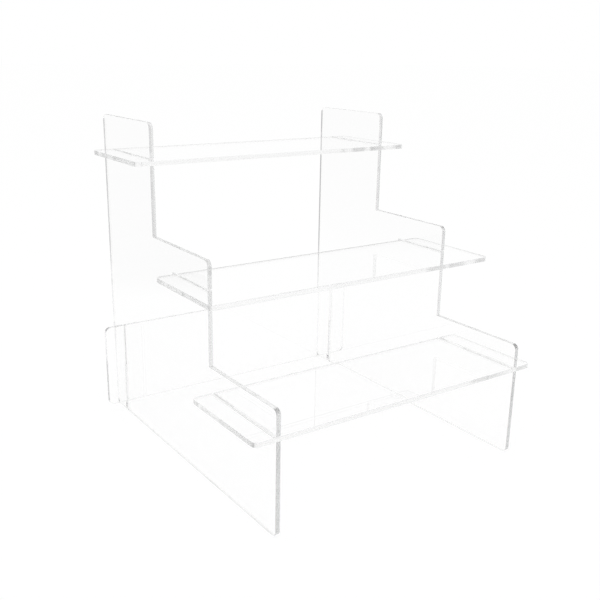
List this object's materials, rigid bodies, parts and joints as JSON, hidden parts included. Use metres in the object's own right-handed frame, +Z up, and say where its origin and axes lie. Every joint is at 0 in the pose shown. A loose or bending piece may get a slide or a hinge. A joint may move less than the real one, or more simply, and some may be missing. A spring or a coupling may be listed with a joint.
{
  "type": "tiered display stand",
  "caption": "Stepped countertop display stand in clear sheet: shelves slide into slots in two stepped side panels, tied by a low brace across the back.",
  "frame": {"origin": "on the resting surface, under the middle of the stand", "axes": "+Z up, -Y towards the front where the low step is, +X along the shelves to the right seen from the front"},
  "size_m": [0.3, 0.305, 0.297],
  "materials": {
    "clear_sheet": "clear cast acrylic sheet, polished faces, laser-cut edges"
  },
  "bodies": {
    "side_frame": {"left_side_panel": "clear_sheet", "right_side_panel": "clear_sheet", "back_brace": "clear_sheet"},
    "bottom_shelf_body": {"bottom_shelf": "clear_sheet"},
    "middle_shelf_body": {"middle_shelf": "clear_sheet"},
    "top_shelf_body": {"top_shelf": "clear_sheet"}
  },
  "joints": [
    {"name": "bottom_shelf_slide", "type": "slide", "parent": "side_frame", "child": "bottom_shelf_body", "axis": [0, -1, 0], "range_m": [0, 0.1]},
    {"name": "middle_shelf_slide", "type": "slide", "parent": "side_frame", "child": "middle_shelf_body", "axis": [0, -1, 0], "range_m": [-0.04, 0.06]},
    {"name": "top_shelf_slide", "type": "slide", "parent": "side_frame", "child": "top_shelf_body", "axis": [0, -1, 0], "range_m": [-0.014, 0.086]}
  ]
}
